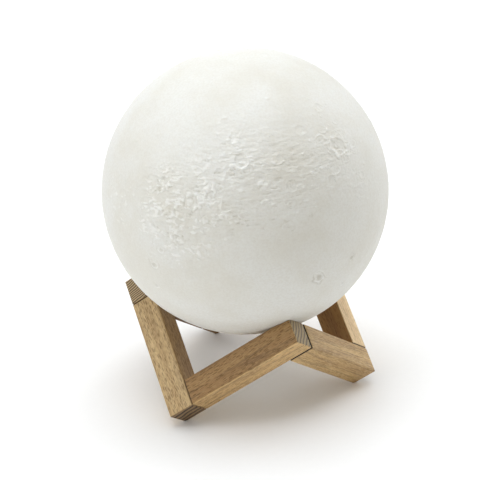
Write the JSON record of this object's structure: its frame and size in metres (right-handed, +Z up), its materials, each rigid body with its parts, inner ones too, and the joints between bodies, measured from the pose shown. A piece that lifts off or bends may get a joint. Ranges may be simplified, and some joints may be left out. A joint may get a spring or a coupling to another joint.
{
  "type": "moon lamp",
  "caption": "Cordless table lamp: a hollow cratered moon globe with its lamp base, resting in a zigzag cradle of square wooden bars.",
  "frame": {"origin": "on the table, under the globe's centre", "axes": "+Z up; one peak of the cradle points along -Y, so its three feet are at front left, front right and back"},
  "size_m": [0.1524, 0.1524, 0.1898],
  "materials": {
    "wood": "oiled oak, eased edges",
    "dowel_wood": "bare beech",
    "globe_plastic": "matte printed white plastic",
    "housing_plastic": "fine matte moulded",
    "button_plastic": "satin moulded",
    "screw_steel": "zinc plated",
    "socket_metal": "nickel plated sheet",
    "board_laminate": "solder mask",
    "chip_plastic": "moulded black",
    "clear_plastic": "clear moulded",
    "pouch_foil": "laminated foil",
    "foam_tape": "foam",
    "wire_jacket": "smooth jacket",
    "board_metal": "white coated",
    "light_chip": "phosphor filled"
  },
  "bodies": {
    "cradle": {"left_bar": "wood", "front_left_bar": "wood", "front_right_bar": "wood", "right_bar": "wood", "back_right_bar": "wood", "back_left_bar": "wood", "glued_dowels": "dowel_wood", "plug_dowels": "dowel_wood"},
    "globe": {"moon_globe": "globe_plastic", "base_housing": "housing_plastic", "housing_lid": "housing_plastic", "lid_screws": "screw_steel", "control_board": "board_laminate", "board_components": "chip_plastic", "board_screws": "screw_steel", "socket_shell": "socket_metal", "socket_tongue": "chip_plastic", "status_light_pipe": "clear_plastic", "switch_body": "chip_plastic", "battery_pouch": "pouch_foil", "battery_tape": "foam_tape", "battery_leads": "wire_jacket", "light_board": "board_metal", "light_chips": "light_chip", "light_board_screws": "screw_steel", "light_leads": "wire_jacket"},
    "button": {"power_button": "button_plastic", "switch_plunger": "chip_plastic"}
  },
  "joints": [
    {"name": "globe_lift", "type": "slide", "parent": "cradle", "child": "globe", "axis": [0, 0, 1], "range_m": [0, 0.12]},
    {"name": "button_press", "type": "slide", "parent": "globe", "child": "button", "axis": [0, 0, 1], "range_m": [0, 0.0005], "stiffness_N_per_m": 3000}
  ]
}
